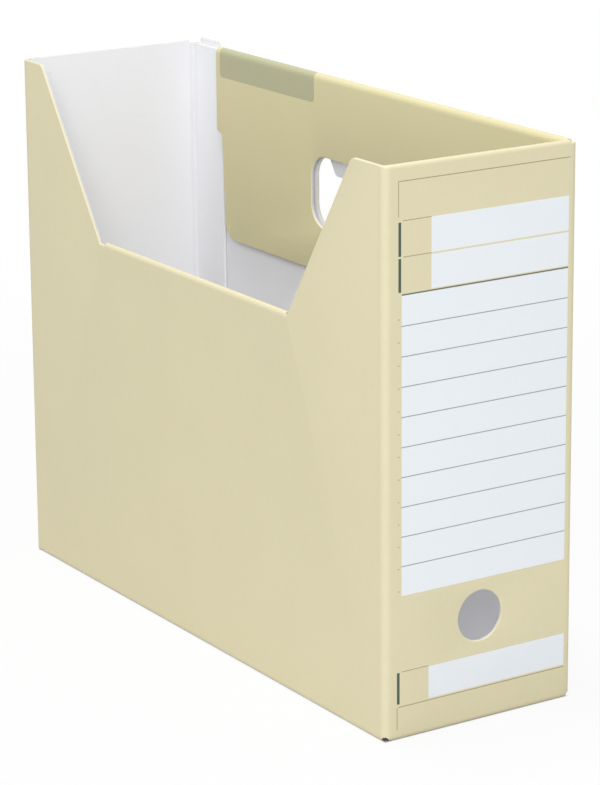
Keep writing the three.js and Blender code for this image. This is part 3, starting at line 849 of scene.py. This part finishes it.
def upright_crease(name, node, corner, start, top, rolls, loft=False, rise=ARCH_RISE):
    """A quarter turn carried up the box. corner is where the two outer faces would meet, start is the
    outward normal at its first side in quarter turns, and rolls says how far each side rolls under at the
    floor. Each column of points is a row of (height, depth) pairs. For the roll's radius r, the depth at
    a height z below r is r - sqrt(r^2 - (r - z)^2). The foot rises to a half ellipse at the crease's
    middle, or with rise 0 stays on the floor, where the roll fades out towards the middle. With loft the
    top passes from a cut edge into the first half of the fold beside it."""
    angle = start * math.pi / 2
    out = np.array([math.cos(angle), math.sin(angle)])
    on = np.array([-out[1], out[0]])
    plan = np.array(corner) - CORNER * on + quarter[:, 1:] * on - quarter[:, :1] * out
    facing_out = -quarter_normal[:, :1] * out + quarter_normal[:, 1:] * on
    side = (quarter_share - 0.5) * CORNER * BEND_LENGTH
    arch = np.sqrt(np.maximum(1 - (side / ARCH_HALF) ** 2, 0))
    roll = rolls[0] + (rolls[1] - rolls[0]) * quarter_share
    if rise == 0:
        arch, roll = 0 * arch, roll * (2 * quarter_share - 1) ** 2
    foot = rise * arch
    inner_foot = roll * BOARD * (1 - arch) + foot * arch
    w = np.linspace(0, 1, 8)[:, None]
    low_out, low_in = foot + w * (LOW_TOP - foot), inner_foot + w * (LOW_TOP - inner_foot)
    upper = np.linspace(12, top - 4, 14)[:, None] + 0 * foot
    under = FOOT_ROLL - np.sqrt(np.maximum(FOOT_ROLL ** 2 - np.maximum(FOOT_ROLL - low_out, 0) ** 2, 0))
    deep = np.clip((FOOT_ROLL - low_in) / np.maximum(FOOT_ROLL - inner_foot, 0.1), 0, 1)
    inner_low = BOARD + roll * (1 - arch) * (1 - np.sqrt(np.maximum(1 - deep ** 2, 0)))
    bead = BEAD_HEIGHT * np.exp(-((quarter_share - 0.5) / BEAD_WIDTH) ** 2)
    blend = quarter_share ** 2 * (3 - 2 * quarter_share) if loft else 0 * quarter_share
    cut_out = np.array([(2.8, 0), (1.6, 0), (0.5, 0), *RIM[1:5]])
    cut_in = np.column_stack([(0.15, 0.6, 1.2, 2.0, 3.0, 3.5, 4.0), np.full(7, BOARD)])
    curve = fold_bend[0][np.linspace(0, 12, 7).astype(int)]
    turn_out = np.column_stack([fold_rise - curve[:, 1], curve[:, 0]])
    turn_in = np.column_stack([np.linspace(BOARD, 4.0, 7), np.linspace(1.6, BOARD, 7)])

    def topped(cut, turned):
        """Heights and depths at the top: (1 - blend) of the cut edge's pairs and blend of the fold's."""
        both = cut[:, None] * (1 - blend)[None, :, None] + turned[:, None] * blend[None, :, None]
        return top - both[..., 0], both[..., 1]

    def stacked(rows):
        """Points from rows of (heights, depths): plan - depth * outward normal, at that height."""
        z = np.concatenate([r[0] for r in rows])
        t = np.concatenate([r[1] for r in rows])
        return np.dstack([plan[None] - t[:, :, None] * facing_out[None], z]).transpose(1, 0, 2)

    rolled = roll * under
    outer = stacked([(foot[None], rolled[:1]), (low_out, rolled), (upper, 0 * upper),
                     topped(cut_out, turn_out)])
    high_z, high_t = topped(cut_in, turn_in)
    lip_z, lip_t = (foot + inner_foot) / 2, (rolled[0] + inner_low[0]) / 2
    inner = stacked([(lip_z[None], lip_t[None]), (low_in, inner_low), (upper, BOARD + bead + 0 * upper),
                     (high_z[::-1], high_t[::-1])])
    abrasion_and_highlight = np.repeat(CREASE_ABRASION_AND_HIGHLIGHT * np.sin(np.pi * quarter_share)[:, None] ** 2, outer.shape[1], 1)
    abrasion_and_highlight[:, -3:] = TOP_ABRASION_AND_HIGHLIGHT
    # The arch's first cut and the faces beside it take the core painted dark, as painted shade.
    dress(carried(name, outer, inner, abrasion_and_highlight, foot=(CORE_PAINTED_SHADE, CORE_PAINTED_SHADE)), node, "root")


upright_crease("near_front_corner", "near_front_crease", (END_X, -SIDE_Y), -1, TOP, (1, 1), loft=True)
upright_crease("far_front_corner", "far_front_crease", (END_X, SIDE_Y), 0, SHOULDER, (1, 0))
upright_crease("tab_corner", "tab_crease", (-END_X, tab_y), 1, SHOULDER, (0, 1))
upright_crease("near_back_corner", "near_back_crease", (-END_X, -SIDE_Y), 2, TOP, (1, 1), rise=0)

# %% [markdown]
# ## The bottom
# The floor board hangs on the near side, lies under two dust flaps, and ends in a lip that is tucked up
# inside the far side. The lip is a tongue in the middle of the floor's edge, because the finger hole shows
# a bare wall. The photograph doesn't show the rest, so this is the usual bottom of such a box.

# %% Floor, lip and dust flaps
LIP_Y, LIP_HALF = 47.9, 72  # the lip's outer face and half its length
DUST_Z, DUST_END = 1.8, 150.65  # the dust flaps' underside and the end at their crease
board("floor_board", "floor_flap", "floor", ((0, 0, 0), (1, 0, 0), (0, 1, 0), (0, 0, 1)), outline(
    (-149.5, -47.85, 0, 1), (-149.5, 48.5, 0, 1), (-72.15, 48.5, 0, 1), (-72.15, 45.25, 0, 0),
    (72.15, 45.25, 0, 1), (72.15, 48.5, 0, 1), (149.5, 48.5, 0, 1), (149.5, -47.85, 0, 0)))

# The lip's cut edges are painted pale, as painted light.
board("lip_board", "tuck_lip", "lip", across_x(LIP_Y, -1), outline(
    (-LIP_HALF, FOOT, 0, 0), (LIP_HALF, FOOT, 0, 1), (LIP_HALF, 15, 6, 1), (-LIP_HALF, 15, 6, 1)),
    rim_ink=PALE_RIM_PAINTED_LIGHT)


def dust_board(name, node, body, sign):
    """A dust flap, with its outline mirrored at the back by an across direction of -X."""
    board(name, node, body, ((0, 0, DUST_Z), (sign, 0, 0), (0, 1, 0), (0, 0, 1)), outline(
        (75.5, -36.7, 10, 1), (DUST_END, -44.7, 0, 0), (DUST_END, 42.1, 0, 1), (75.5, 34.1, 10, 1)))


dust_board("front_dust_board", "front_dust_flap", "front_dust", 1)
dust_board("back_dust_board", "back_dust_flap", "back_dust", -1)

# %% Bottom creases
round_foot = np.linspace(0, math.pi / 2, 11)


def quarter_strip(name, node, y0, sign, ends):
    """A quarter turn that runs along X, from an upright face at y0 to the floor. Its points are
    centre + radius * (-sign * cos a, -sin a) for angles a from 0 to 90 degrees, with a short straight end
    at both sides."""
    centre = np.array([y0 + sign * FOOT_ROLL, FOOT_ROLL])
    curve = np.column_stack([-sign * np.cos(round_foot), -np.sin(round_foot)])
    run = np.linspace(*ends, 14)

    def places(radius):
        """The bend's points at a radius, for every place along X."""
        yz = np.concatenate([[[centre[0] - sign * radius, FOOT]], centre + radius * curve,
                             [[centre[0] + sign * 0.15, FOOT_ROLL - radius]]])
        return np.stack([np.insert(yz, 0, x, 1) for x in run])

    # The bottom crease is lightened along its bend, partly as abrasion and partly as painted highlight.
    abrasion_and_highlight = np.tile(CREASE_ABRASION_AND_HIGHLIGHT * np.sin(np.linspace(0, np.pi, 13)) ** 2, (len(run), 1))
    # The strip's closed ends take the core painted dark, as painted shade.
    made = carried(name, places(FOOT_ROLL), places(FOOT_ROLL - BOARD), abrasion_and_highlight, ends=CORE_PAINTED_SHADE)
    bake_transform(made)
    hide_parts(node)


quarter_strip("near_bottom_strip", "near_bottom_crease", -SIDE_Y, 1,
              (-panel_x, panel_x))
quarter_strip("lip_strip", "lip_crease", LIP_Y, -1, (-LIP_HALF, LIP_HALF))


# %% Creases of the dust flaps
def dust_strip(name, node, sign, far_end):
    """The crease of a dust flap: a quarter turn round the foot, then along the floor and up over the floor
    board's end. The rise follows 3s^2 - 2s^3."""
    s = np.linspace(0, 1, 13)[1:]
    centre = END_X - FOOT_ROLL
    lower = np.column_stack([centre - 4.7 * s, DUST_Z * (3 * s ** 2 - 2 * s ** 3)])

    def profile(radius, raised):
        """The quarter turn at a radius and the lower part raised by a distance, between straight ends."""
        bow = np.column_stack([centre + radius * np.cos(round_foot), FOOT_ROLL - radius * np.sin(round_foot)])
        return np.concatenate([[[centre + radius, FOOT]], bow, lower + [0, raised],
                               [[DUST_END, DUST_Z + raised]]])

    def along_y(xz):
        """The profile at ten places from the near panel's crease to the far end."""
        return np.stack([np.insert(xz * [sign, 1], 1, y, 1) for y in np.linspace(-panel_y, far_end, 10)])

    outer, inner = along_y(profile(FOOT_ROLL, 0)), along_y(profile(FOOT_ROLL - BOARD, BOARD))
    # The strip's closed ends take the core painted dark, as painted shade.
    made = carried(name, outer, inner, np.zeros(outer.shape[:2]), ends=CORE_PAINTED_SHADE)
    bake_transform(made)
    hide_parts(node)


dust_strip("front_bottom_strip", "front_bottom_crease", 1, panel_y)
dust_strip("back_bottom_strip", "back_bottom_crease", -1, tab_edge)
